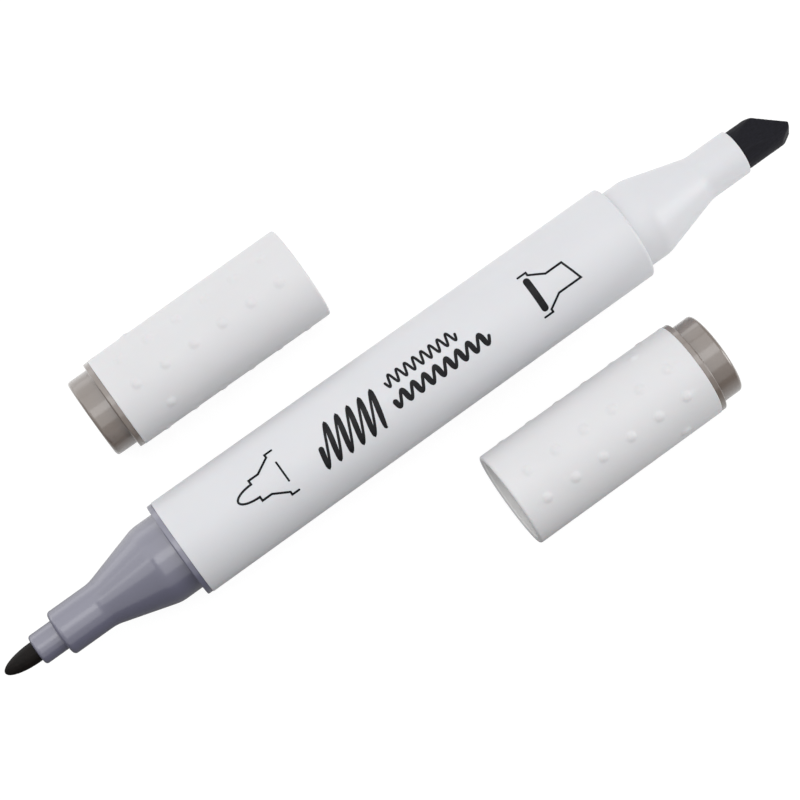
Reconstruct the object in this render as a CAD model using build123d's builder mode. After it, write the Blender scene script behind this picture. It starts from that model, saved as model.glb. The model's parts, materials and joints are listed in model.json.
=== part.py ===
from build123d import *
import os

# A twin-tip art marker lying on a surface with both caps off.
# X runs along the marker, from the fine tip (-X) to the broad tip (+X), and Z is up.
# The origin is on the surface, under the middle of the whole row. Millimetres.

# ---- driving dimensions: places along X ----------------------------------------------
half_length = 70.4          # each nib's tip is this far from the middle
fine_collar_front = -64.8   # front face of the small collar that holds the fine nib
fine_neck_front = -60.7
fine_flare_front = -53.2
fine_root_front = -43.6
fine_flange_front = -39.9   # the fine cap's mouth stops here when it is pushed on
barrel_fine_end = -39.05
barrel_broad_end = 41.0     # the broad cap's mouth stops here when it is pushed on
broad_root_end = 44.85
broad_flare_end = 54.75
broad_neck_mouth = 61.7

# ---- driving dimensions: radii -------------------------------------------------------
barrel_fine_r = 7.9
barrel_broad_r = 7.69
flange_r = 7.8              # the ring that shows between the barrel and the fine root
root_r = 6.5                # the stub that a cap's mouth fits over, the same at both ends
neck_r = 3.68               # the cylinder that a cap's inner seal closes on
collar_r = 2.45
fine_nib_r = 1.6
broad_nib_r = 3.25
reservoir_r = 6.1
wrap_thickness = 0.15

# ---- driving dimensions: rounded corners -----------------------------------------------
broad_blend = 5.0           # where the broad end's flare meets its root and its neck
fine_blend = 6.0            # the same at the fine end
throat_blend = 1.0          # the same inside
shoulder_round = 0.45       # the barrel's step down to the broad root
collar_round = 0.45
neck_round = 0.6
lip_round = 0.3             # rims and free edges
seam_round = 0.15           # where two pieces meet flush
inside_corner = 0.1

# ---- fits ----------------------------------------------------------------------------
nib_clearance = 0.04        # round a nib, which slides out
loose_fit = 0.05            # round the reservoir
press_gap = 0.02            # between pieces that are pushed together for good

# ---- inside the barrel and the front section -----------------------------------------
reservoir_half = 39.0
chamber_half = 39.25        # the chamber's end walls, just past the reservoir's ends
chamber_r = reservoir_r + loose_fit
skirt_r = 6.85              # the front section's skirt, pushed into the barrel
skirt_end = -29.0
skirt_stop = 0.1            # end gap behind the skirt
throat_r = 5.35             # where the chamber starts to narrow towards a nib
fine_guide_back = -53.5     # back end of the straight bore that holds the fine nib
broad_guide_back = 52.6
nib_in_core = 7.0           # how far each nib's back end goes into the reservoir

# ---- nib shapes ----------------------------------------------------------------------
bullet_length = 5.2         # the fine nib's rounded point
chisel_high = 65.0          # X where the slanted writing edge leaves the nib's +Y side
chisel_tip_y = -1.3         # Y, from the marker's axis, where the slanted edge ends
chisel_toe = (69.95, -2.1)  # X and Y of the blunt corner past the tip
chisel_heel = (68.1, -3.15)  # X and Y where the blunt corner meets the nib's -Y side
chisel_overrun = 1.0        # how far the cutting outline runs past the rod
wedge_back = 62.4           # X where the chisel's two broad faces start
wedge_tip_half = 1.35       # half the chisel's thickness at its tip
nib_edge = 0.4              # softened edges of the chisel's tip
chisel_round = 0.6          # softened corners of the slanted edge
nib_chamfer = 0.3           # lead-in at each nib's back end

# ---- caps: lengths along a cap, from its mouth ------------------------------------------
fine_shell_length = 33.85
broad_shell_length = 32.55
mouth_bore_length = 4.6
seal_start = 14.6

# ---- caps: lengths past the shell's far end ----------------------------------------------
cap_flange_length = 0.85
seal_bore_reach = 1.1
seal_reach = 2.6
plug_reach = 4.4
spigot_length = 3.2         # back into the shell

# ---- caps: radii and walls ---------------------------------------------------------------
cap_mouth_r = 7.63
cap_far_r = 7.52
cap_flange_r = 7.45
plug_r = 6.57
mouth_bore_r = 6.58         # fits over root_r
shell_bore_r = 6.4
plug_bore_r = 4.75
plug_wall = 1.3
seal_r = 4.4
seal_bore_r = 3.73          # fits over neck_r
cap_rim_round = 0.35
plug_edge_round = 0.5
lead_in = 0.3               # widening at the mouth of each bore
bore_step = 0.6             # length of the cone between the mouth's bore and the shell's

# ---- grip bumps on each cap ------------------------------------------------------------
bump_height = 0.16
bump_half_width = 0.68
bumps_in_row = 6
row_share = 0.757           # of the shell's length, from a row's first bump to its last
row_step = 40               # degrees from one row to the next
groups = 3                  # each group is two full rows and one single bump

# ---- how the pieces lie ----------------------------------------------------------------
marker_y = -0.8             # puts the middle of the whole row on the origin
axis_z = barrel_fine_r      # the marker rests on the thick end of its barrel
cap_y = 24.05               # the caps lie at plus and minus this
cap_z = cap_mouth_r         # each cap rests on its mouth rim
fine_cap_mouth = -0.85
broad_cap_mouth = 3.27
fine_cap_turn = -28         # degrees from straight up to the first row, towards -Y
broad_cap_turn = 2

marker_plane = Plane(origin=(0, marker_y, axis_z), x_dir=(1, 0, 0), z_dir=(0, -1, 0))
marker_axis = Axis((0, marker_y, axis_z), (1, 0, 0))
fine_cap_plane = Plane(origin=(fine_cap_mouth, cap_y, cap_z), x_dir=(-1, 0, 0), z_dir=(0, 1, 0))
broad_cap_plane = Plane(origin=(broad_cap_mouth, -cap_y, cap_z), x_dir=(1, 0, 0), z_dir=(0, -1, 0))


def half_section(plane, start, end, corners):
    """The face between the axis and an outline of (along, radius, rounding) corners."""
    points = [(start, 0)] + [(along, radius) for along, radius, rounding in corners] + [(end, 0)]
    with BuildSketch(plane) as section:
        with BuildLine():
            FilletPolyline(*points, radius=[rounding for along, radius, rounding in corners])
            Line((end, 0), (start, 0))
        make_face()
    return section.sketch


def finish(piece, name):
    """Label a finished piece and write it."""
    piece.label = name
    export_step(piece, f"parts/{name}.step")


os.makedirs("parts", exist_ok=True)

# ---- barrel: tapered tube and broad-end neck in one moulding ---------------------------
with BuildPart() as barrel:
    body_outline = [
        (barrel_fine_end, barrel_fine_r, seam_round),
        (barrel_broad_end, barrel_broad_r, shoulder_round),
        (barrel_broad_end, root_r, inside_corner),
        (broad_root_end, root_r, broad_blend),
        (broad_flare_end, neck_r, broad_blend),
        (broad_neck_mouth, neck_r, lip_round),
    ]
    revolve(half_section(marker_plane, barrel_fine_end, broad_neck_mouth, body_outline), marker_axis)
    broad_bore_r = broad_nib_r + nib_clearance
    chamber_outline = [
        (barrel_fine_end, skirt_r + press_gap, 0),
        (skirt_end + skirt_stop, skirt_r + press_gap, 0),
        (skirt_end + skirt_stop, chamber_r, 0),
        (chamber_half, chamber_r, 0),
        (chamber_half, throat_r, 0),
        (broad_root_end, throat_r, throat_blend),
        (broad_guide_back, broad_bore_r, throat_blend),
        (broad_neck_mouth, broad_bore_r, 0),
    ]
    chamber = half_section(marker_plane, barrel_fine_end, broad_neck_mouth, chamber_outline)
    revolve(chamber, marker_axis, mode=Mode.SUBTRACT)
finish(barrel.part, "barrel")

# ---- fine front section: skirt, flange ring, root, flare, neck and nib collar ----------
with BuildPart() as fine_front_section:
    front_outline = [
        (fine_collar_front, collar_r, collar_round),
        (fine_neck_front, collar_r, inside_corner),
        (fine_neck_front, neck_r, neck_round),
        (fine_flare_front, neck_r, fine_blend),
        (fine_root_front, root_r, fine_blend),
        (fine_flange_front, root_r, inside_corner),
        (fine_flange_front, flange_r, lip_round),
        (barrel_fine_end, flange_r, seam_round),
        (barrel_fine_end, skirt_r, 0),
        (skirt_end, skirt_r, lip_round),
    ]
    revolve(half_section(marker_plane, fine_collar_front, skirt_end, front_outline), marker_axis)
    fine_bore_r = fine_nib_r + nib_clearance
    throat_outline = [
        (fine_collar_front, fine_bore_r, 0),
        (fine_guide_back, fine_bore_r, throat_blend),
        (fine_root_front, throat_r, throat_blend),
        (-chamber_half, throat_r, 0),
        (-chamber_half, chamber_r, 0),
        (skirt_end, chamber_r, 0),
    ]
    throat = half_section(marker_plane, fine_collar_front, skirt_end, throat_outline)
    revolve(throat, marker_axis, mode=Mode.SUBTRACT)
finish(fine_front_section.part, "fine_front_section")

# ---- reservoir: fibre core with a blind hole for each nib, in a film tube --------------
fine_nib_back = -reservoir_half + nib_in_core
broad_nib_back = reservoir_half - nib_in_core
core_r = reservoir_r - wrap_thickness - press_gap
with BuildPart() as reservoir_core:
    with BuildSketch(Plane.YZ.offset(-reservoir_half)):
        with Locations((marker_y, axis_z)):
            Circle(core_r)
    extrude(amount=2 * reservoir_half)
    with BuildSketch(Plane.YZ.offset(-reservoir_half)):
        with Locations((marker_y, axis_z)):
            Circle(fine_nib_r + nib_clearance)
    extrude(amount=nib_in_core + loose_fit, mode=Mode.SUBTRACT)
    with BuildSketch(Plane.YZ.offset(reservoir_half)):
        with Locations((marker_y, axis_z)):
            Circle(broad_nib_r + nib_clearance)
    extrude(amount=-nib_in_core - loose_fit, mode=Mode.SUBTRACT)
finish(reservoir_core.part, "reservoir_core")

with BuildPart() as reservoir_wrap:
    with BuildSketch(Plane.YZ.offset(-reservoir_half)):
        with Locations((marker_y, axis_z)):
            Circle(reservoir_r)
            Circle(reservoir_r - wrap_thickness, mode=Mode.SUBTRACT)
    extrude(amount=2 * reservoir_half)
finish(reservoir_wrap.part, "reservoir_wrap")

# ---- fine nib: a felt rod with a bullet point ------------------------------------------
bullet_back = -half_length + bullet_length
with BuildPart() as fine_nib:
    with BuildSketch(marker_plane):
        with BuildLine():
            EllipticalCenterArc((bullet_back, 0), bullet_length, fine_nib_r, start_angle=90, arc_size=90)
            Polyline(
                (bullet_back, fine_nib_r),
                (fine_nib_back, fine_nib_r),
                (fine_nib_back, 0),
                (-half_length, 0),
            )
        make_face()
    revolve(axis=marker_axis)
    chamfer(fine_nib.edges().group_by(Axis.X)[-1], nib_chamfer)
finish(fine_nib.part, "fine_nib")

# ---- broad nib: a felt rod cut to a slanted chisel --------------------------------------
beyond = broad_nib_r + chisel_overrun
with BuildPart() as broad_nib:
    with BuildSketch(Plane.YZ.offset(broad_nib_back)):
        with Locations((marker_y, axis_z)):
            Circle(broad_nib_r)
    extrude(amount=half_length - broad_nib_back)
    chamfer(broad_nib.edges().group_by(Axis.X)[0], nib_chamfer)
    with BuildSketch(Plane((0, marker_y, axis_z))):
        with BuildLine():
            FilletPolyline(
                (broad_nib_back, -beyond),
                (chisel_heel[0] + chisel_overrun, -beyond),
                chisel_heel,
                chisel_toe,
                (half_length, chisel_tip_y),
                (chisel_high, broad_nib_r),
                (chisel_high - chisel_overrun, beyond),
                (broad_nib_back, beyond),
                radius=[0, chisel_round, chisel_round, chisel_round, chisel_round, 0],
            )
            Line((broad_nib_back, beyond), (broad_nib_back, -beyond))
        make_face()
    extrude(amount=beyond, both=True, mode=Mode.INTERSECT)
    with BuildSketch(marker_plane):
        with BuildLine():
            FilletPolyline(
                (broad_nib_back, -beyond),
                (wedge_back - beyond, -beyond),
                (wedge_back, -broad_nib_r),
                (half_length, -wedge_tip_half),
                (half_length, wedge_tip_half),
                (wedge_back, broad_nib_r),
                (wedge_back - beyond, beyond),
                (broad_nib_back, beyond),
                radius=[0, 0, nib_edge, nib_edge, 0, 0],
            )
            Line((broad_nib_back, beyond), (broad_nib_back, -beyond))
        make_face()
    extrude(amount=beyond, both=True, mode=Mode.INTERSECT)
finish(broad_nib.part, "broad_nib")


# ---- caps ------------------------------------------------------------------------------
def make_cap(name, plane, turn, shell_length):
    """Make one cap's shell, end plug and inner seal along the plane's own X."""
    cap_axis = Axis(plane.origin, plane.x_dir)
    cap_length = shell_length + plug_reach
    spigot_start = shell_length - spigot_length
    seal_end = shell_length + seal_reach
    seal_bore_end = shell_length + seal_bore_reach

    with BuildPart() as shell:
        shell_outline = [(0, cap_mouth_r, cap_rim_round), (shell_length, cap_far_r, lip_round)]
        revolve(half_section(plane, 0, shell_length, shell_outline), cap_axis)
        first_bump = shell_length * (1 - row_share) / 2
        bump_pitch = shell_length * row_share / (bumps_in_row - 1)
        ball_r = (bump_half_width**2 + bump_height**2) / (2 * bump_height)
        in_row = [first_bump + index * bump_pitch for index in range(bumps_in_row)]
        full_rows = [(along, row) for along in in_row for row in (0, 1)]
        single_bump = (in_row[-1] - bump_pitch / 2, 2)
        for along, row in [*full_rows, single_bump]:
            shell_r = cap_mouth_r + (cap_far_r - cap_mouth_r) * along / shell_length
            centre = plane.origin + plane.x_dir * along
            with Locations(Plane(origin=centre, x_dir=(0, 0, 1), z_dir=(1, 0, 0))):
                with PolarLocations(shell_r + bump_height - ball_r, groups, turn + row * row_step):
                    Sphere(ball_r)
        bore_outline = [
            (0, mouth_bore_r + lead_in, 0),
            (lead_in, mouth_bore_r, 0),
            (mouth_bore_length, mouth_bore_r, 0),
            (mouth_bore_length + bore_step, shell_bore_r, 0),
            (shell_length, shell_bore_r, 0),
        ]
        revolve(half_section(plane, 0, shell_length, bore_outline), cap_axis, mode=Mode.SUBTRACT)
    finish(shell.part, f"{name}_shell")

    with BuildPart() as end_plug:
        flange_end = shell_length + cap_flange_length
        plug_outline = [
            (spigot_start, shell_bore_r - press_gap, lip_round),
            (shell_length, shell_bore_r - press_gap, 0),
            (shell_length, cap_flange_r, seam_round),
            (flange_end, cap_flange_r, lip_round),
            (flange_end, plug_r, inside_corner),
            (cap_length, plug_r, plug_edge_round),
        ]
        revolve(half_section(plane, spigot_start, cap_length, plug_outline), cap_axis)
        pocket_end = cap_length - plug_wall
        pocket_outline = [(spigot_start, plug_bore_r, 0), (pocket_end, plug_bore_r, 0)]
        pocket = half_section(plane, spigot_start, pocket_end, pocket_outline)
        revolve(pocket, cap_axis, mode=Mode.SUBTRACT)
    finish(end_plug.part, f"{name}_end_plug")

    with BuildPart() as inner_seal:
        cup_outline = [
            (seal_start, seal_r, lip_round),
            (spigot_start, seal_r, lip_round),
            (spigot_start, plug_bore_r - press_gap, inside_corner),
            (seal_end, plug_bore_r - press_gap, lip_round),
        ]
        revolve(half_section(plane, seal_start, seal_end, cup_outline), cap_axis)
        cup_bore_outline = [
            (seal_start, seal_bore_r + lead_in, 0),
            (seal_start + lead_in, seal_bore_r, 0),
            (seal_bore_end, seal_bore_r, bore_step),
        ]
        cup_bore = half_section(plane, seal_start, seal_bore_end, cup_bore_outline)
        revolve(cup_bore, cap_axis, mode=Mode.SUBTRACT)
    finish(inner_seal.part, f"{name}_inner_seal")


make_cap("fine_cap", fine_cap_plane, fine_cap_turn, fine_shell_length)
make_cap("broad_cap", broad_cap_plane, broad_cap_turn, broad_shell_length)
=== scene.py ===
import json
import math

import bmesh
import bpy
import numpy as np
from mathutils import Matrix, Vector, noise


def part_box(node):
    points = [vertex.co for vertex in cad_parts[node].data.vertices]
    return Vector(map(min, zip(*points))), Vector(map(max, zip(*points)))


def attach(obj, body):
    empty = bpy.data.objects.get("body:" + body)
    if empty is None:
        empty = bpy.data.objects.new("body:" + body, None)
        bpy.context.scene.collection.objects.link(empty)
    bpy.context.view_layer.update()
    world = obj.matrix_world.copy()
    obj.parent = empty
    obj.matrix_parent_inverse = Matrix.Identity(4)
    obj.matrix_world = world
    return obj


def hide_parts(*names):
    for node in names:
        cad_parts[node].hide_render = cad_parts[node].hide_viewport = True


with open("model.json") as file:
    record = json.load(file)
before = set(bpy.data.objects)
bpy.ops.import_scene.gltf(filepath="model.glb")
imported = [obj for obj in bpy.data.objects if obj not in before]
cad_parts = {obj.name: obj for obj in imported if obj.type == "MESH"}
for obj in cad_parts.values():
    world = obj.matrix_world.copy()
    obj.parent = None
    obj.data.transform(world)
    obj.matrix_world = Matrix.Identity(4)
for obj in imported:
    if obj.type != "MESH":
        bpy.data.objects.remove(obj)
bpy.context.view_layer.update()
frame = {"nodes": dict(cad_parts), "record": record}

# A twin-tip art marker that lies uncapped between its two caps. Every visible CAD node is
# replaced by a finer mesh of the same size; the fibre reservoir and its film keep theirs.
# Outlines are in millimetres, Blender objects in metres.

MM = 0.001
SEGMENTS = 160          # faces round a turned piece
ARC_STEPS = 6           # the fewest faces along a rounded corner
ARC_STEP = 0.4          # mm, the longest face along a large one
GUARD = 0.12            # mm from a rounded corner to the next loop, so that flats shade flat
GUARD_SHARE = 0.3       # the most of a flat that one such loop takes off
LONGEST_RUN = 2.5       # mm between two loops
ONE_RUN = 50            # mm, longer than any run, so that nothing is divided
SAME_PLACE = 1e-5       # mm between points that count as one


# ---- places, from the frame --------------------------------------------------------------
def box_mm(node):
    """A CAD node's lowest and highest corners, in mm."""
    low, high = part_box(node)
    return low / MM, high / MM


def mount(name):
    """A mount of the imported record: its place in mm and its dimensions."""
    found = next(m for m in frame["record"]["mounts"] if m["name"] == name)
    return Vector(found["pos_m"]) / MM, found.get("dims", {})


class Line:
    """The axis that a piece is turned round: a point (along, radius, turn) becomes a place.

    Turn 0 is straight up and grows towards -Y."""

    def __init__(self, origin, direction):
        self.origin = np.array(origin, float)
        self.direction = np.array((direction, 0, 0), float)

    def place(self, along, radius, turn):
        """Places in metres, for arrays in mm and radians."""
        along, radius, turn = np.broadcast_arrays(along, radius, turn)
        up = np.array((0, 0, 1.0))
        side = np.array((0, -1.0, 0))
        spoke = np.cos(turn)[..., None] * up + np.sin(turn)[..., None] * side
        return (self.origin + along[..., None] * self.direction + radius[..., None] * spoke) * MM


barrel_low, barrel_high = box_mm("barrel")
front_low, front_high = box_mm("fine_front_section")
fine_nib_low, fine_nib_high = box_mm("fine_nib")
broad_nib_low, broad_nib_high = box_mm("broad_nib")
fine_cap_low, fine_cap_high = box_mm("fine_cap_shell")
broad_cap_low, broad_cap_high = box_mm("broad_cap_shell")
fine_plug_low, fine_plug_high = box_mm("fine_cap_end_plug")
fine_seal_low, fine_seal_high = box_mm("fine_cap_inner_seal")

marker_y = mount("fine_cap_seat")[0].y
marker_z = mount("fine_cap_seat")[0].z
cap_y = mount("fine_cap_mouth")[0].y
cap_z = mount("fine_cap_mouth")[0].z
marker_line = Line((0, marker_y, marker_z), 1)
fine_cap_line = Line((fine_cap_high.x, cap_y, cap_z), -1)
broad_cap_line = Line((broad_cap_low.x, -cap_y, cap_z), 1)

# ---- the marker's outline -----------------------------------------------------------------
root_r = mount("fine_cap_seat")[1]["r_mm"]
neck_r = mount("fine_seal_seat")[1]["r_mm"]
barrel_fine_r = (barrel_high.z - barrel_low.z) / 2
barrel_broad_r = 7.69
flange_r = (front_high.z - front_low.z) / 2
collar_r = 2.45
fine_nib_r = (fine_nib_high.z - fine_nib_low.z) / 2
broad_nib_r = (broad_nib_high.z - broad_nib_low.z) / 2
bore_gap = 0.04         # round a nib
press_gap = 0.02        # between pieces that are pushed together
chamber_r = 6.15
skirt_r = 6.85          # the front section's skirt, pushed into the barrel
skirt_stop = 0.1        # end gap behind it
throat_r = 5.35         # where the chamber starts to narrow towards a nib

fine_neck_front = -60.7
fine_flare_front = -53.2
fine_root_front = -43.6
fine_flange_front = -39.9
barrel_broad_end = 41.0
broad_root_end = 44.85
broad_flare_end = 54.75
chamber_half = 39.25
fine_guide_back = -53.5     # back ends of the straight bores that hold the nibs
broad_guide_back = 52.6

# ---- a cap's outline: lengths from its mouth, or past its shell's far end ---------------------
fine_shell_length = fine_cap_high.x - fine_cap_low.x
broad_shell_length = broad_cap_high.x - broad_cap_low.x
plug_reach = fine_cap_low.x - fine_plug_low.x
spigot_length = fine_plug_high.x - fine_cap_low.x
seal_start = fine_cap_high.x - fine_seal_high.x
seal_reach = fine_cap_low.x - fine_seal_low.x
seal_bore_reach = 1.1
cap_flange_length = 0.85
mouth_bore_length = 4.6
cap_mouth_r = cap_z
cap_far_r = 7.52
cap_flange_r = (fine_plug_high.z - fine_plug_low.z) / 2
plug_r = 6.57
mouth_bore_r = mount("fine_cap_mouth")[1]["r_mm"]
shell_bore_r = 6.4
plug_bore_r = 4.75
plug_wall = 1.3
seal_bore_r = mount("fine_cap_seal_bore")[1]["r_mm"]
seal_r = 4.4
lead_in = 0.3           # widening at the mouth of each bore
bore_step = 0.6         # length of the cone between the mouth's bore and the shell's
dimple_depth = 0.12     # the moulding's mark in the middle of the plug's end
dimple_floor_r = 0.75
dimple_r = 0.9
inside_reach = 0.1      # past the mouth's bore, as far as the shell's inside with its painted light goes

# ---- rounded edges ----------------------------------------------------------------------------
seam_round = 0.05       # where two pieces meet
hidden_round = 0.05     # inside, where nothing shows
bore_round = 0.1
corner_round = 0.12     # at the foot of a step, and on thin rims
step_round = 0.15
lip_round = 0.3         # free ends of tubes
shoulder_round = 0.45   # the barrel's step down to the broad root
broad_mouth_round = 0.22
collar_round = 0.45
neck_round = 0.6
broad_blend = 5.0       # where the broad end's flare meets its root and its neck
fine_blend = 6.0        # the same at the fine end
throat_blend = 1.0      # the same inside
cap_rim_round = 0.35
plug_edge_round = 0.5
plug_floor_round = 0.2
seal_lip_round = 0.25
seal_floor_round = 0.6

# ---- the caps' grip bumps ----------------------------------------------------------------------
bump_height = 0.2       # of the paraboloid's top over the shell
bump_half_width = 0.86
bumps_in_row = 6
row_share = 0.757       # of the shell's length, from a row's first bump to its last
row_turns = (0, math.radians(37))   # a group's two full rows, from its first
single_turn = math.radians(79)      # and the single bump beside them
bump_groups = 3
fine_cap_turn = math.radians(-18)   # the first row, from straight up towards -Y
broad_cap_turn = math.radians(1.3)
bump_start = 3.0        # mm from the shell's ends to the fine loops that carry the bumps
bump_loop_step = 0.2
shell_segments = 256
outside_from = (mouth_bore_r + cap_far_r) / 2       # a radius between the shell's bores and its outside


# ---- meshes ------------------------------------------------------------------------------------
def rounded(corners, open_ends=False):
    """Outline points in mm from (along, radius, rounding) corners, with an arc at each rounding."""
    points = []
    for index, (along, radius, rounding) in enumerate(corners):
        here = Vector((along, radius))
        at_end = open_ends and index in (0, len(corners) - 1)
        if rounding == 0 or at_end:
            points.append(here)
            continue
        back = Vector(corners[index - 1][:2]) - here
        ahead = Vector(corners[(index + 1) % len(corners)][:2]) - here
        back_way, ahead_way = back.normalized(), ahead.normalized()
        half_angle = back_way.angle(ahead_way) / 2
        reach = rounding / math.tan(half_angle)
        centre = here + (back_way + ahead_way).normalized() * (rounding / math.sin(half_angle))
        first, last = here + back_way * reach, here + ahead_way * reach
        points.append(first + back_way * min(GUARD, GUARD_SHARE * max(back.length - reach, 0)))
        sweep = math.pi - 2 * half_angle
        spoke = first - centre
        way = 1 if spoke.x * (last - centre).y - spoke.y * (last - centre).x > 0 else -1
        steps = max(ARC_STEPS, math.ceil(rounding * sweep / ARC_STEP))
        for step in range(steps + 1):
            points.append(centre + Matrix.Rotation(way * sweep * step / steps, 2) @ spoke)
        points.append(last + ahead_way * min(GUARD, GUARD_SHARE * max(ahead.length - reach, 0)))
    return points


def with_loops(points, closed, longest=LONGEST_RUN):
    """The same outline with long runs divided, and doubled points left out."""
    made = []
    count = len(points) if closed else len(points) - 1
    for index in range(count):
        start, end = points[index], points[(index + 1) % len(points)]
        run = (end - start).length
        if run < SAME_PLACE:
            continue
        parts = max(1, math.ceil(run / longest))
        made += [start.lerp(end, part / parts) for part in range(parts)]
    if not closed:
        made.append(points[-1])
    return made


def new_piece(name, places, faces, sharp_angle=40):
    """A smooth-shaded mesh object from places in metres."""
    mesh = bpy.data.meshes.new(name)
    mesh.from_pydata([tuple(place) for place in places], [], faces)
    tidy = bmesh.new()
    tidy.from_mesh(mesh)
    bmesh.ops.recalc_face_normals(tidy, faces=tidy.faces)
    tidy.to_mesh(mesh)
    tidy.free()
    mesh.shade_smooth()
    mesh.set_sharp_from_angle(angle=math.radians(sharp_angle))
    piece = bpy.data.objects.new(name, mesh)
    bpy.context.scene.collection.objects.link(piece)
    return piece


def turned(name, line, corners, segments=SEGMENTS, longest=LONGEST_RUN, relief=None):
    """Turn an outline round a line. One that starts and ends at radius 0 makes a solid.

    relief(along, radius, turn) gives extra radius in mm."""
    solid = corners[0][1] == 0
    points = with_loops(rounded(corners, open_ends=solid), closed=not solid, longest=longest)
    turns = np.arange(segments) * (2 * math.pi / segments)
    places, rings = [], []
    for point in points:
        if point.y < SAME_PLACE:
            rings.append([len(places)])
            places.append(line.place(point.x, 0.0, 0.0))
            continue
        radius = np.full(segments, point.y)
        if relief:
            radius = radius + relief(point.x, point.y, turns)
        rings.append(range(len(places), len(places) + segments))
        places.extend(line.place(point.x, radius, turns))
    faces = []
    pairs = list(zip(rings, rings[1:])) + ([] if solid else [(rings[-1], rings[0])])
    for one, other in pairs:
        for step in range(segments):
            after = (step + 1) % segments
            if len(one) == 1:
                faces.append((one[0], other[step], other[after]))
            elif len(other) == 1:
                faces.append((one[step], one[after], other[0]))
            else:
                faces.append((one[step], one[after], other[after], other[step]))
    return new_piece(name, places, faces)


# ---- materials ---------------------------------------------------------------------------------
# how fine each noise is, in cells per metre
cloud_scale = 90
wave_scale = 160
gloss_scale = 420
grain_scale = 5200
bundle_scale = 1500
strand_scale = 9000
ink_scale = 2600
ink_gloss_scale = 3000
# most of a noise lies between these two values
ramp_start = 0.3
ramp_end = 0.7


def material(name, colour, roughness, **settings):
    """A new material and its shader; settings are values of the shader's own sockets."""
    made = bpy.data.materials.new(name)
    made.use_nodes = True
    shader = made.node_tree.nodes["Principled BSDF"]
    shader.inputs["Base Color"].default_value = (*colour, 1)
    shader.inputs["Roughness"].default_value = roughness
    for key, value in settings.items():
        shader.inputs[key.replace("_", " ")].default_value = value
    return made, shader


def add_node(made, kind, **values):
    """A node of that kind, with the given socket values or settings."""
    node = made.node_tree.nodes.new(kind)
    for key, value in values.items():
        socket = node.inputs.get(key.replace("_", " "))
        if socket is not None:
            socket.default_value = value
        else:
            setattr(node, key, value)
    return node


def object_noise(made, scale, detail=3.0, stretch=(1, 1, 1)):
    """A noise in the piece's own coordinates; scale counts its cells per metre."""
    links = made.node_tree.links
    places = add_node(made, "ShaderNodeTexCoord")
    mapping = add_node(made, "ShaderNodeMapping", Scale=stretch)
    links.new(places.outputs["Object"], mapping.inputs["Vector"])
    texture = add_node(made, "ShaderNodeTexNoise", Scale=scale, Detail=detail)
    links.new(mapping.outputs["Vector"], texture.inputs["Vector"])
    return texture.outputs["Fac"]


def vary_colour(made, shader, source, low, high):
    """Let a noise move the base colour between two colours."""
    ramp = add_node(made, "ShaderNodeValToRGB")
    ramp.color_ramp.elements[0].position = ramp_start
    ramp.color_ramp.elements[1].position = ramp_end
    ramp.color_ramp.elements[0].color = (*low, 1)
    ramp.color_ramp.elements[1].color = (*high, 1)
    made.node_tree.links.new(source, ramp.inputs["Fac"])
    made.node_tree.links.new(ramp.outputs["Color"], shader.inputs["Base Color"])


def vary_roughness(made, shader, source, low, high):
    """Let a noise move the roughness between two values."""
    span = add_node(made, "ShaderNodeMapRange")
    span.inputs["To Min"].default_value = low
    span.inputs["To Max"].default_value = high
    made.node_tree.links.new(source, span.inputs["Value"])
    made.node_tree.links.new(span.outputs["Result"], shader.inputs["Roughness"])


def add_bump(made, shader, source, height, strength=1.0):
    """Raise the surface by a noise, height in metres."""
    bump = add_node(made, "ShaderNodeBump", Distance=height, Strength=strength)
    links = made.node_tree.links
    links.new(source, bump.inputs["Height"])
    previous = shader.inputs["Normal"]
    if previous.is_linked:
        links.new(previous.links[0].from_socket, bump.inputs["Normal"])
    links.new(bump.outputs["Normal"], previous)


def moulded_plastic(name, colour, roughness, spread, grain_height, **settings):
    """Moulded plastic: faint clouding, uneven gloss, a fine grain and shallow waves along the piece."""
    made, shader = material(name, colour, roughness, **settings)
    darker = [channel * (1 - spread) for channel in colour]
    lighter = [channel * (1 + spread) for channel in colour]
    gloss = object_noise(made, gloss_scale, detail=5)
    waves = object_noise(made, wave_scale, detail=2, stretch=(0.15, 1, 1))
    vary_colour(made, shader, object_noise(made, cloud_scale, detail=4), darker, lighter)
    vary_roughness(made, shader, gloss, roughness - 0.05, roughness + 0.06)
    add_bump(made, shader, object_noise(made, grain_scale, detail=2), grain_height)
    add_bump(made, shader, waves, grain_height * 2.5)
    return made


def fibres(name, low, high, roughness, bump_height, **settings):
    """Bonded fibres that run along X. The colour follows the strand noise that also raises the bump, darker
    in its low places: painted shade in the gaps between the strands, over a tone that differs at random.
    """
    made, shader = material(name, high, roughness, **settings)
    strands = object_noise(made, strand_scale, detail=4, stretch=(0.035, 1, 1))
    bundles = object_noise(made, bundle_scale, detail=3, stretch=(0.08, 1, 1))
    # painted shade: the colour is darkest where the strands' bump is lowest
    vary_colour(made, shader, strands, low, high)
    vary_roughness(made, shader, bundles, roughness - 0.12, roughness + 0.12)
    add_bump(made, shader, strands, bump_height)
    add_bump(made, shader, bundles, bump_height * 1.6)
    return made


def ink():
    """Printed black ink, a little glossier than the plastic, with thin places."""
    made, shader = material("printed_ink", (0.006, 0.006, 0.007), 0.22, Specular_IOR_Level=0.13)
    patches = object_noise(made, ink_scale, detail=4)
    vary_colour(made, shader, patches, (0.004, 0.004, 0.005), (0.009, 0.009, 0.0105))
    vary_roughness(made, shader, object_noise(made, ink_gloss_scale, detail=3), 0.17, 0.27)
    return made


white_body = moulded_plastic(
    "white_body", (0.541, 0.545, 0.566), roughness=0.4, spread=0.012, grain_height=3e-6,
    Subsurface_Weight=0.1, Subsurface_Scale=0.0008)
white_cap = moulded_plastic(
    "white_cap", (0.553, 0.552, 0.564), roughness=0.42, spread=0.012, grain_height=3e-6,
    Subsurface_Weight=0.1, Subsurface_Scale=0.0008)
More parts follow.
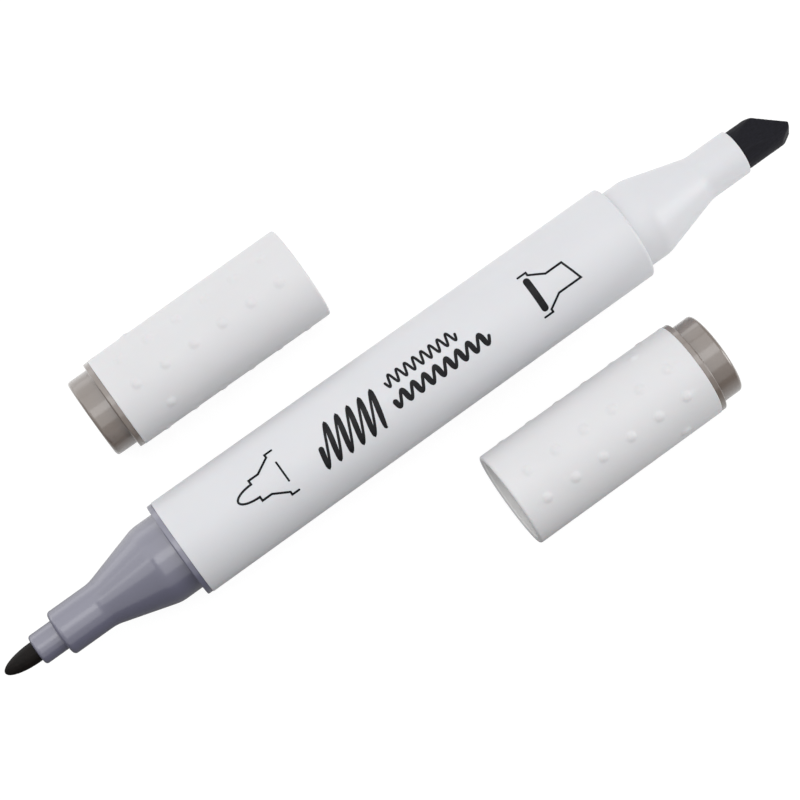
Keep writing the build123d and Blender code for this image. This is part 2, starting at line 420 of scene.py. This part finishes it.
# painted light: the inside is lighter, standing in for the light that comes through a real cap's thin wall
white_cap_inside = moulded_plastic(
    "white_cap_inside", (0.74, 0.735, 0.73), roughness=0.5, spread=0.012, grain_height=3e-6)
grey_section = moulded_plastic(
    "grey_section", (0.093, 0.092, 0.141), roughness=0.34, spread=0.02, grain_height=1.5e-6,
    IOR=1.7, Coat_Weight=1.0, Coat_Roughness=0.17, Coat_IOR=1.7)
taupe_plug = moulded_plastic(
    "taupe_plug", (0.118, 0.09, 0.072), roughness=0.34, spread=0.02, grain_height=1.5e-6,
    IOR=1.7, Coat_Weight=1.0, Coat_Roughness=0.13, Coat_IOR=1.7)
milky_seal = moulded_plastic(
    "milky_seal", (0.66, 0.66, 0.64), roughness=0.38, spread=0.01, grain_height=2e-6,
    Subsurface_Weight=0.35, Subsurface_Scale=0.0015)
reservoir_film = moulded_plastic(
    "reservoir_film", (0.7, 0.7, 0.72), roughness=0.15, spread=0.01, grain_height=1e-6,
    Transmission_Weight=0.6, IOR=1.49)
fine_felt = fibres(
    "fine_felt", low=(0.0015, 0.0011, 0.0009), high=(0.0068, 0.0046, 0.0038),
    roughness=0.45, bump_height=9e-6, Specular_IOR_Level=0.13)
broad_felt = fibres(
    "broad_felt", low=(0.0034, 0.0033, 0.005), high=(0.0088, 0.0086, 0.0135),
    roughness=0.65, bump_height=9e-6, Specular_IOR_Level=0.15)
reservoir_fibre = fibres(
    "reservoir_fibre", low=(0.12, 0.1, 0.09), high=(0.3, 0.26, 0.24),
    roughness=0.8, bump_height=2e-5)
printed_ink = ink()


def put(piece, body, paint, slot, *nodes):
    """Give a piece its material and body, and hide the CAD nodes that it stands for; the slot is not used.
    """
    piece.data.materials.clear()
    piece.data.materials.append(paint)
    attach(piece, body)
    if nodes:
        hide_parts(*nodes)
    return piece


# ---- barrel and front section --------------------------------------------------------------------
barrel = turned("barrel_moulding", marker_line, [
    (barrel_low.x, barrel_fine_r, seam_round),
    (barrel_broad_end, barrel_broad_r, shoulder_round),
    (barrel_broad_end, root_r, corner_round),
    (broad_root_end, root_r, broad_blend),
    (broad_flare_end, neck_r, broad_blend),
    (barrel_high.x, neck_r, broad_mouth_round),
    (barrel_high.x, broad_nib_r + bore_gap, bore_round),
    (broad_guide_back, broad_nib_r + bore_gap, throat_blend),
    (broad_root_end, throat_r, throat_blend),
    (chamber_half, throat_r, hidden_round),
    (chamber_half, chamber_r, hidden_round),
    (front_high.x + skirt_stop, chamber_r, hidden_round),
    (front_high.x + skirt_stop, skirt_r + press_gap, hidden_round),
    (barrel_low.x, skirt_r + press_gap, hidden_round),
])
put(barrel, "marker", white_body, "white_body", "barrel")

front = turned("front_section_moulding", marker_line, [
    (front_low.x, collar_r, collar_round),
    (fine_neck_front, collar_r, step_round),
    (fine_neck_front, neck_r, neck_round),
    (fine_flare_front, neck_r, fine_blend),
    (fine_root_front, root_r, fine_blend),
    (fine_flange_front, root_r, corner_round),
    (fine_flange_front, flange_r, step_round),
    (barrel_low.x, flange_r, seam_round),
    (barrel_low.x, skirt_r, hidden_round),
    (front_high.x, skirt_r, lip_round),
    (front_high.x, chamber_r, hidden_round),
    (-chamber_half, chamber_r, hidden_round),
    (-chamber_half, throat_r, hidden_round),
    (fine_root_front, throat_r, throat_blend),
    (fine_guide_back, fine_nib_r + bore_gap, throat_blend),
    (front_low.x, fine_nib_r + bore_gap, bore_round),
])
put(front, "marker", grey_section, "grey_section", "fine_front_section")

for node, paint in (("reservoir_core", reservoir_fibre), ("reservoir_wrap", reservoir_film)):
    frame["nodes"][node].data.materials.clear()
    frame["nodes"][node].data.materials.append(paint)


# ---- nibs ------------------------------------------------------------------------------------------
nib_segments = 96
nib_chamfer = 0.3       # lead-in at each nib's back end
bullet_length = 5.2     # the fine nib's rounded point
bullet_steps = 40
bullet_loop = 0.4       # mm between the fine nib's loops
bullet_back_round = 0.1
fibre_stretch = 0.25    # a noise cell is four times as long along X as across


def roughen(piece, depth, cell, seed):
    """Move each point along its normal by a smooth noise, with depth and cell in mm."""
    mesh = piece.data
    normals = [vertex.normal.copy() for vertex in mesh.vertices]
    for vertex, normal in zip(mesh.vertices, normals):
        at = Vector((vertex.co.x * fibre_stretch, vertex.co.y, vertex.co.z)) / (cell * MM)
        vertex.co += normal * (noise.noise(at + Vector((seed, 0, 0))) * depth * MM)
    mesh.update()


bullet = [
    (fine_nib_low.x + bullet_length * (1 - math.cos(angle)), fine_nib_r * math.sin(angle), 0)
    for angle in (math.pi / 2 * step / bullet_steps for step in range(bullet_steps))
]
fine_nib = turned("bullet_nib", marker_line, bullet + [
    (fine_nib_low.x + bullet_length, fine_nib_r, 0),
    (fine_nib_high.x - nib_chamfer, fine_nib_r, bullet_back_round),
    (fine_nib_high.x, fine_nib_r - nib_chamfer, bullet_back_round),
    (fine_nib_high.x, 0, 0),
], segments=nib_segments, longest=bullet_loop)
roughen(fine_nib, depth=0.02, cell=0.12, seed=3)
put(fine_nib, "fine_nib", fine_felt, "felt", "fine_nib")

chisel_high = 65.0      # X where the slanted writing edge leaves the nib's +Y side
chisel_tip_y = -1.3     # Y, from the marker's axis, where the slanted edge ends
chisel_toe = (69.95, -2.1)      # X and Y of the blunt tip's other end
chisel_heel = (68.1, -3.15)     # X and Y where the cut from there meets the nib's -Y side
wedge_back = 62.4       # X where the chisel's two broad faces start
wedge_tip = 70.4
wedge_tip_half = 1.35   # half the chisel's thickness at its tip
felt_voxel = 0.11       # mm
felt_smoothing = 16     # passes that round the cut edges


def cut(work, point, normal):
    """Cut a closed mesh by a plane, drop the side that the normal points to, and close it."""
    everything = work.verts[:] + work.edges[:] + work.faces[:]
    made = bmesh.ops.bisect_plane(work, geom=everything, plane_co=point, plane_no=normal, clear_outer=True)
    rim = [edge for edge in made["geom_cut"] if isinstance(edge, bmesh.types.BMEdge)]
    bmesh.ops.contextual_create(work, geom=rim)


def marker_place(along, across, up):
    """A place from mm along the marker and from its axis towards +Y and +Z."""
    return Vector((along, marker_y + across, marker_z + up)) * MM


broad_nib = turned("chisel_nib", marker_line, [
    (wedge_tip, 0, 0),
    (wedge_tip, broad_nib_r, 0),
    (broad_nib_low.x + nib_chamfer, broad_nib_r, 0),
    (broad_nib_low.x, broad_nib_r - nib_chamfer, 0),
    (broad_nib_low.x, 0, 0),
], segments=nib_segments, longest=ONE_RUN)
work = bmesh.new()
work.from_mesh(broad_nib.data)
# the two broad faces
for side in (1, -1):
    slope = Vector((wedge_tip - wedge_back, 0, side * (wedge_tip_half - broad_nib_r)))
    outward = Vector((-slope.z, 0, slope.x)) * side
    cut(work, marker_place(wedge_back, 0, side * broad_nib_r), outward)
# the slanted writing edge, the blunt tip, and the cut from its toe to the nib's -Y side
for start, end in (
    ((wedge_tip, chisel_tip_y), (chisel_high, broad_nib_r)),
    (chisel_toe, (wedge_tip, chisel_tip_y)),
    (chisel_heel, chisel_toe),
):
    run = Vector((end[0] - start[0], end[1] - start[1], 0))
    cut(work, marker_place(start[0], start[1], 0), Vector((run.y, -run.x, 0)))
work.to_mesh(broad_nib.data)
work.free()
remesh = broad_nib.modifiers.new("remesh", "REMESH")
remesh.mode = "VOXEL"
remesh.voxel_size = felt_voxel * MM
soften = broad_nib.modifiers.new("soften", "SMOOTH")
soften.factor = 0.5
soften.iterations = felt_smoothing
evaluated = broad_nib.evaluated_get(bpy.context.evaluated_depsgraph_get())
softened = bpy.data.meshes.new_from_object(evaluated)
broad_nib.modifiers.clear()
broad_nib.data = softened
broad_nib.data.shade_smooth()
roughen(broad_nib, depth=0.025, cell=0.14, seed=11)
put(broad_nib, "broad_nib", broad_felt, "felt", "broad_nib")


# ---- caps ------------------------------------------------------------------------------------------
def grip_bumps(first_turn, shell_length):
    """The relief of a cap's bumps: per group two full rows and one single bump beside them."""
    first = shell_length * (1 - row_share) / 2
    pitch = shell_length * row_share / (bumps_in_row - 1)
    in_row = [first + index * pitch for index in range(bumps_in_row)]
    bumps = [(along, turn) for along in in_row for turn in row_turns]
    bumps.append((in_row[-1] - pitch / 2, single_turn))

    def relief(along, radius, turns):
        raised = np.zeros_like(turns)
        if radius < outside_from:
            return raised
        for bump_along, bump_turn in bumps:
            if abs(along - bump_along) > bump_half_width:
                continue
            for group in range(bump_groups):
                turn = first_turn + bump_turn + group * 2 * math.pi / bump_groups
                off = np.angle(np.exp(1j * (turns - turn))) * radius
                away = np.hypot(off, along - bump_along) / bump_half_width
                raised = np.maximum(raised, bump_height * (1 - away ** 2))
        return raised

    return relief


def paint_inside(piece, line, radius, paint):
    """Give the faces that are nearer to the line than that radius in mm a material of their own."""
    piece.data.materials.append(paint)
    for face in piece.data.polygons:
        spoke = face.center / MM - Vector(line.origin)
        if math.hypot(spoke.y, spoke.z) < radius:
            face.material_index = 1


def add_cap(name, line, first_turn, shell_length):
    """One cap's shell, end plug and inner seal."""
    slope = (cap_far_r - cap_mouth_r) / shell_length
    loops = np.arange(bump_start, shell_length - bump_start, bump_loop_step)
    shell = turned(f"{name}_grip_shell", line, [
        (0, cap_mouth_r, cap_rim_round),
        *[(along, cap_mouth_r + slope * along, 0) for along in loops],
        (shell_length, cap_far_r, corner_round),
        (shell_length, shell_bore_r, bore_round),
        (mouth_bore_length + bore_step, shell_bore_r, lip_round),
        (mouth_bore_length, mouth_bore_r, lip_round),
        (lead_in, mouth_bore_r, step_round),
        (0, mouth_bore_r + lead_in, corner_round),
    ], segments=shell_segments, relief=grip_bumps(first_turn, shell_length))
    put(shell, name, white_cap, "white_cap", f"{name}_shell")
    # the faces inside the mouth get the material with the painted light
    paint_inside(shell, line, mouth_bore_r + inside_reach, white_cap_inside)

    cap_length = shell_length + plug_reach
    flange_end = shell_length + cap_flange_length
    spigot_start = shell_length - spigot_length
    plug = turned(f"{name}_closing_plug", line, [
        (cap_length - dimple_depth, 0, 0),
        (cap_length - dimple_depth, dimple_floor_r, bore_round),
        (cap_length, dimple_r, bore_round),
        (cap_length, plug_r, plug_edge_round),
        (flange_end, plug_r, corner_round),
        (flange_end, cap_flange_r, step_round),
        (shell_length, cap_flange_r, seam_round),
        (shell_length, shell_bore_r - press_gap, hidden_round),
        (spigot_start, shell_bore_r - press_gap, lip_round),
        (spigot_start, plug_bore_r, bore_round),
        (cap_length - plug_wall, plug_bore_r, plug_floor_round),
        (cap_length - plug_wall, 0, 0),
    ])
    put(plug, name, taupe_plug, "taupe_plug", f"{name}_end_plug")

    seal_end = shell_length + seal_reach
    seal_bore_end = shell_length + seal_bore_reach
    seal = turned(f"{name}_seal_cup", line, [
        (seal_end, 0, 0),
        (seal_end, plug_bore_r - press_gap, lip_round),
        (spigot_start, plug_bore_r - press_gap, bore_round),
        (spigot_start, seal_r, lip_round),
        (seal_start, seal_r, seal_lip_round),
        (seal_start, seal_bore_r + lead_in, bore_round),
        (seal_start + lead_in, seal_bore_r, step_round),
        (seal_bore_end, seal_bore_r, seal_floor_round),
        (seal_bore_end, 0, 0),
    ])
    put(seal, name, milky_seal, "milky_seal", f"{name}_inner_seal")


add_cap("fine_cap", fine_cap_line, fine_cap_turn, fine_shell_length)
add_cap("broad_cap", broad_cap_line, broad_cap_turn, broad_shell_length)

# ---- print on the barrel -----------------------------------------------------------------------------
# The print is drawn on the unrolled barrel: x along the marker and, from a line 20 degrees
# round from the top, mm round the barrel towards -Y. It shows which nib is at which end and
# what each one draws; it has no lettering.
print_turn = math.radians(20)
ink_lift = 0.02         # mm above the barrel
ink_sunk = 0.015        # mm below it
thin_line = 0.34        # mm wide
print_run = 0.5         # mm, the longest that a stroke goes without following the barrel's curve
sharpest_mitre = 0.5    # keeps a sharp corner from growing past twice the stroke's width
end_steps = 4           # sections in a stroke's round end
end_least = 0.05        # of the stroke's width, at the very end
end_angles = [math.pi / 2 * step / end_steps for step in range(end_steps)]


def barrel_radius(x):
    """The barrel's radius at x, in mm."""
    share = (x - barrel_low.x) / (barrel_broad_end - barrel_low.x)
    return barrel_fine_r + (barrel_broad_r - barrel_fine_r) * share


def round_end(section, way):
    """The sections that close a stroke past its last one, from the very end inwards."""
    point, across, half = section
    return [
        (point + way * half * math.cos(angle), across, half * max(math.sin(angle), end_least))
        for angle in end_angles
    ]


def stroke(points, widths):
    """Sections (place, way across, half width) of a pen stroke with round ends."""
    points = [Vector(point) for point in points]
    sections = []
    for index, point in enumerate(points):
        into = (point - points[index - 1]).normalized() if index else None
        out = (points[index + 1] - point).normalized() if index + 1 < len(points) else None
        way_in, way_out = into or out, out or into
        mean = (way_in + way_out).normalized()
        across = Vector((-mean.y, mean.x))
        mitre = max(sharpest_mitre, across.dot(Vector((-way_in.y, way_in.x))))
        sections.append((point, across, widths[index] / 2 / mitre))
    opening = round_end(sections[0], (points[0] - points[1]).normalized())
    closing = round_end(sections[-1], (points[-1] - points[-2]).normalized())
    return opening + sections + closing[::-1]


def print_piece(name, strokes):
    """Closed thin solids that hug the barrel, one for each stroke, four points to a section."""
    places, faces = [], []
    for sections in strokes:
        base = len(places)
        for point, across, half in sections:
            left, right = point + across * half, point - across * half
            for edge, lift in ((left, ink_lift), (right, ink_lift), (right, -ink_sunk), (left, -ink_sunk)):
                radius = barrel_radius(edge.x)
                places.append(marker_line.place(edge.x, radius + lift, print_turn + edge.y / radius))
        last = len(places) - 4
        for here in range(base, last, 4):
            there = here + 4
            for side in range(4):
                after = (side + 1) % 4
                faces.append((here + side, here + after, there + after, there + side))
        faces.append(tuple(base + side for side in range(4)))
        faces.append(tuple(last + side for side in reversed(range(4))))
    piece = new_piece(name, places, faces)
    return put(piece, "marker", printed_ink, "white_body")


def plain_stroke(corners, width=thin_line):
    """A stroke of one width through the given corners."""
    points = with_loops([Vector(corner) for corner in corners], closed=False, longest=print_run)
    return stroke(points, [width] * len(points))


# the two nib icons: half the height of their bodies and of the cones in front
icon_body_half = 3.6
icon_cone_half = 3.1

# the fine nib's outline, with a thin line beside it
icon_middle = -0.48     # mm round the barrel
icon_tip = -28.7
icon_bullet_length = 3.0
icon_bullet_half = 1.1
icon_bullet_steps = 10
icon_collar = -25.7
icon_collar_half = 1.75
icon_cone = -24.05
icon_body = -21.7
icon_end = -20.5
upper = [
    (icon_tip + icon_bullet_length * (1 - math.cos(angle)), icon_bullet_half * math.sin(angle))
    for angle in (math.pi / 2 * step / icon_bullet_steps for step in range(1, icon_bullet_steps + 1))
]
upper += [
    (icon_collar, icon_collar_half),
    (icon_cone, icon_collar_half),
    (icon_body, icon_cone_half),
    (icon_body, icon_body_half),
    (icon_end, icon_body_half),
]
fine_outline = [(x, icon_middle - half) for x, half in reversed(upper)]
fine_outline += [(icon_tip, icon_middle)]
fine_outline += [(x, icon_middle + half) for x, half in upper]
thin_sample = plain_stroke([(-20.95, -2.1), (-20.95, 1.15)], width=0.3)
print_piece("print_fine_icon", [plain_stroke(fine_outline), thin_sample])

# the broad nib's outline, with a thick bar beside it
broad_icon_end = 23.03
broad_icon_body = 24.45
broad_icon_neck = 26.68
broad_icon_neck_half = 1.72
broad_icon_low_corner = 29.5
broad_icon_high_corner = 30.6
broad_outline = [
    (broad_icon_end, -icon_body_half),
    (broad_icon_body, -icon_body_half),
    (broad_icon_body, -icon_cone_half),
    (broad_icon_neck, -broad_icon_neck_half),
    (broad_icon_low_corner, -broad_icon_neck_half),
    (broad_icon_high_corner, broad_icon_neck_half),
    (broad_icon_neck, broad_icon_neck_half),
    (broad_icon_body, icon_cone_half),
    (broad_icon_body, icon_body_half),
    (broad_icon_end, icon_body_half),
]
thick_sample = plain_stroke([(23.75, -2.35), (23.75, 2.35)], width=1.1)
print_piece("print_broad_icon", [plain_stroke(broad_outline), thick_sample])


# a zigzag pen trial, and one wave from each nib
def wave(start, length, middle, height, turns, width, slant=0.0, swell=0.0, samples=24):
    """A sine wave along x that leans by slant; its strokes towards -Y are wider by up to swell."""
    count = int(turns * samples)
    points, widths = [], []
    for index in range(count + 1):
        share = index / count
        angle = 2 * math.pi * turns * share
        rise = height * math.sin(angle)
        points.append((start + length * share + slant * rise, middle + rise))
        widths.append(width + swell * max(0.0, math.cos(angle)))
    return stroke(points, widths)


print_piece("print_pen_trial", [
    wave(start=-14.6, length=10.6, middle=0.2, height=2.9, turns=5.25, width=0.42, slant=-0.35, swell=0.42),
])
print_piece("print_line_samples", [
    wave(start=-1.6, length=12.4, middle=-2.25, height=0.85, turns=8.5, width=0.4),
    wave(start=-1.9, length=16.6, middle=0.85, height=1.0, turns=8.5, width=0.5, slant=-0.2, swell=0.35),
])

# ---- floor, light and camera ---------------------------------------------------------------------------
floor_size = 3.0
floor_roughness = 0.9
floor_glow = 0.9        # how bright the paper looks by itself
floor_shade = 0.14      # and how much of the light and shadow on it shows
bounce_low = 0.12       # how much light the paper sends back near the fine nib, on the -Y side
bounce_high = 0.9       # and near the broad nib and on the +Y side
bounce_start = -0.04    # m from the origin, where it starts to rise
bounce_end = 0.01
bounce_turn = math.radians(60)      # the way it rises, from +X towards +Y
world_fill = 0.64       # the studio's light from all round, where 1 is the white backdrop
arch_distance = 0.5     # m from the marker's middle to the panels over it


def pale_floor():
    """Matt seamless paper, overexposed to white where it is seen, with a faint contact shadow."""
    made, bounce = material("floor_paper", (bounce_high,) * 3, floor_roughness, Specular_IOR_Level=0.0)
    tree = made.node_tree
    places = add_node(made, "ShaderNodeTexCoord")
    rise = add_node(made, "ShaderNodeMapping", Rotation=(0, 0, -bounce_turn))
    tree.links.new(places.outputs["Object"], rise.inputs["Vector"])
    split = add_node(made, "ShaderNodeSeparateXYZ")
    tree.links.new(rise.outputs["Vector"], split.inputs["Vector"])
    falloff = add_node(made, "ShaderNodeMapRange", interpolation_type="SMOOTHSTEP")
    falloff.inputs["From Min"].default_value = bounce_start
    falloff.inputs["From Max"].default_value = bounce_end
    falloff.inputs["To Min"].default_value = bounce_low
    falloff.inputs["To Max"].default_value = bounce_high
    tree.links.new(split.outputs["X"], falloff.inputs["Value"])
    tree.links.new(falloff.outputs["Result"], bounce.inputs["Base Color"])
    glow = add_node(made, "ShaderNodeEmission", Color=(1, 1, 1, 1), Strength=floor_glow)
    shade = add_node(made, "ShaderNodeBsdfDiffuse", Color=(floor_shade, floor_shade, floor_shade, 1))
    seen = add_node(made, "ShaderNodeAddShader")
    tree.links.new(glow.outputs[0], seen.inputs[0])
    tree.links.new(shade.outputs[0], seen.inputs[1])
    rays = add_node(made, "ShaderNodeLightPath")
    choice = add_node(made, "ShaderNodeMixShader")
    tree.links.new(rays.outputs["Is Camera Ray"], choice.inputs["Fac"])
    tree.links.new(bounce.outputs[0], choice.inputs[1])
    tree.links.new(seen.outputs[0], choice.inputs[2])
    tree.links.new(choice.outputs[0], tree.nodes["Material Output"].inputs["Surface"])
    return made


bpy.ops.mesh.primitive_plane_add(size=floor_size, location=(0, 0, 0))
floor = bpy.context.active_object
floor.name = "floor"
floor.data.materials.append(pale_floor())

world = bpy.data.worlds.new("studio")
bpy.context.scene.world = world
world.use_nodes = True
sky = world.node_tree
backdrop = sky.nodes["Background"]
backdrop.inputs["Color"].default_value = (1, 1, 1, 1)
rays = sky.nodes.new("ShaderNodeLightPath")
strength = sky.nodes.new("ShaderNodeMapRange")
strength.inputs["To Min"].default_value = world_fill
strength.inputs["To Max"].default_value = 1.0
sky.links.new(rays.outputs["Is Camera Ray"], strength.inputs["Value"])
sky.links.new(strength.outputs["Result"], backdrop.inputs["Strength"])

marker_centre = Vector(((fine_nib_low.x + broad_nib_high.x) / 2, marker_y, marker_z)) * MM


def softbox(name, place, size, brightness):
    """A rectangular area light that faces the marker, with its first side along the marker.

    A white surface that sees nothing else is that bright."""
    light = bpy.data.lights.new(name, "AREA")
    light.shape = "RECTANGLE"
    light.size, light.size_y = size
    light.energy = brightness * math.pi * size[0] * size[1]
    holder = bpy.data.objects.new(name, light)
    away = (Vector(place) - marker_centre).normalized()
    along = (Vector((1, 0, 0)) - away * away.x).normalized()
    facing = Matrix((along, away.cross(along), away)).transposed().to_4x4()
    holder.matrix_world = Matrix.Translation(place) @ facing
    bpy.context.scene.collection.objects.link(holder)


def arch_panel(name, start, end, brightness, left=-0.14, right=0.22):
    """One panel of the arch over the marker, between two angles in degrees from the vertical to +Y.

    It reaches from left to right, in metres along X."""
    middle, half = math.radians((start + end) / 2), math.radians((end - start) / 2)
    across, up = arch_distance * math.sin(middle), arch_distance * math.cos(middle)
    size = (right - left, 2 * arch_distance * math.tan(half))
    softbox(name, Vector(((left + right) / 2, across, up)), size, brightness)


arch_panel("front", start=-54, end=-21, brightness=0.85)
arch_panel("window", start=-21, end=2, brightness=1.98)
arch_panel("sky", start=2, end=40, brightness=1.0, left=-0.4)
arch_panel("side", start=40, end=68, brightness=0.84, left=-0.45)
arch_panel("wall", start=68, end=89, brightness=1.2, left=-0.45, right=0.3)
softbox("right", place=(0.42, -0.26, 0.21), size=(0.3, 0.3), brightness=3.9)
softbox("left", place=(-0.31, -0.06, 0.4), size=(0.24, 0.26), brightness=0.8)

lens = 118.8            # mm, for Blender's 36 mm sensor
camera_distance = 0.3876    # m
clip_start = 0.01
side_tilt = math.radians(19.85)     # from straight above, towards -Y
along_tilt = math.radians(4.45)     # and towards -X
marker_slant = math.radians(35.52)  # how far the marker's axis is turned in the picture
aim_offset = Vector((-0.00056, -0.00105, 0))    # m from the marker's middle to the picture's

# the picture's own directions: to the right, upwards, and back towards the camera
back = Vector((
    -math.sin(along_tilt),
    -math.sin(side_tilt) * math.cos(along_tilt),
    math.cos(side_tilt) * math.cos(along_tilt),
))
along = (Vector((1, 0, 0)) - back * back.x).normalized()
across = back.cross(along)
right = along * math.cos(marker_slant) - across * math.sin(marker_slant)
above = along * math.sin(marker_slant) + across * math.cos(marker_slant)
camera_data = bpy.data.cameras.new("camera")
camera_data.lens = lens
camera_data.clip_start = clip_start
camera = bpy.data.objects.new("camera", camera_data)
facing = Matrix((right, above, back)).transposed().to_4x4()
camera.matrix_world = Matrix.Translation(marker_centre + aim_offset + back * camera_distance) @ facing
bpy.context.scene.collection.objects.link(camera)
bpy.context.scene.camera = camera
bpy.context.scene.view_settings.view_transform = "Standard"
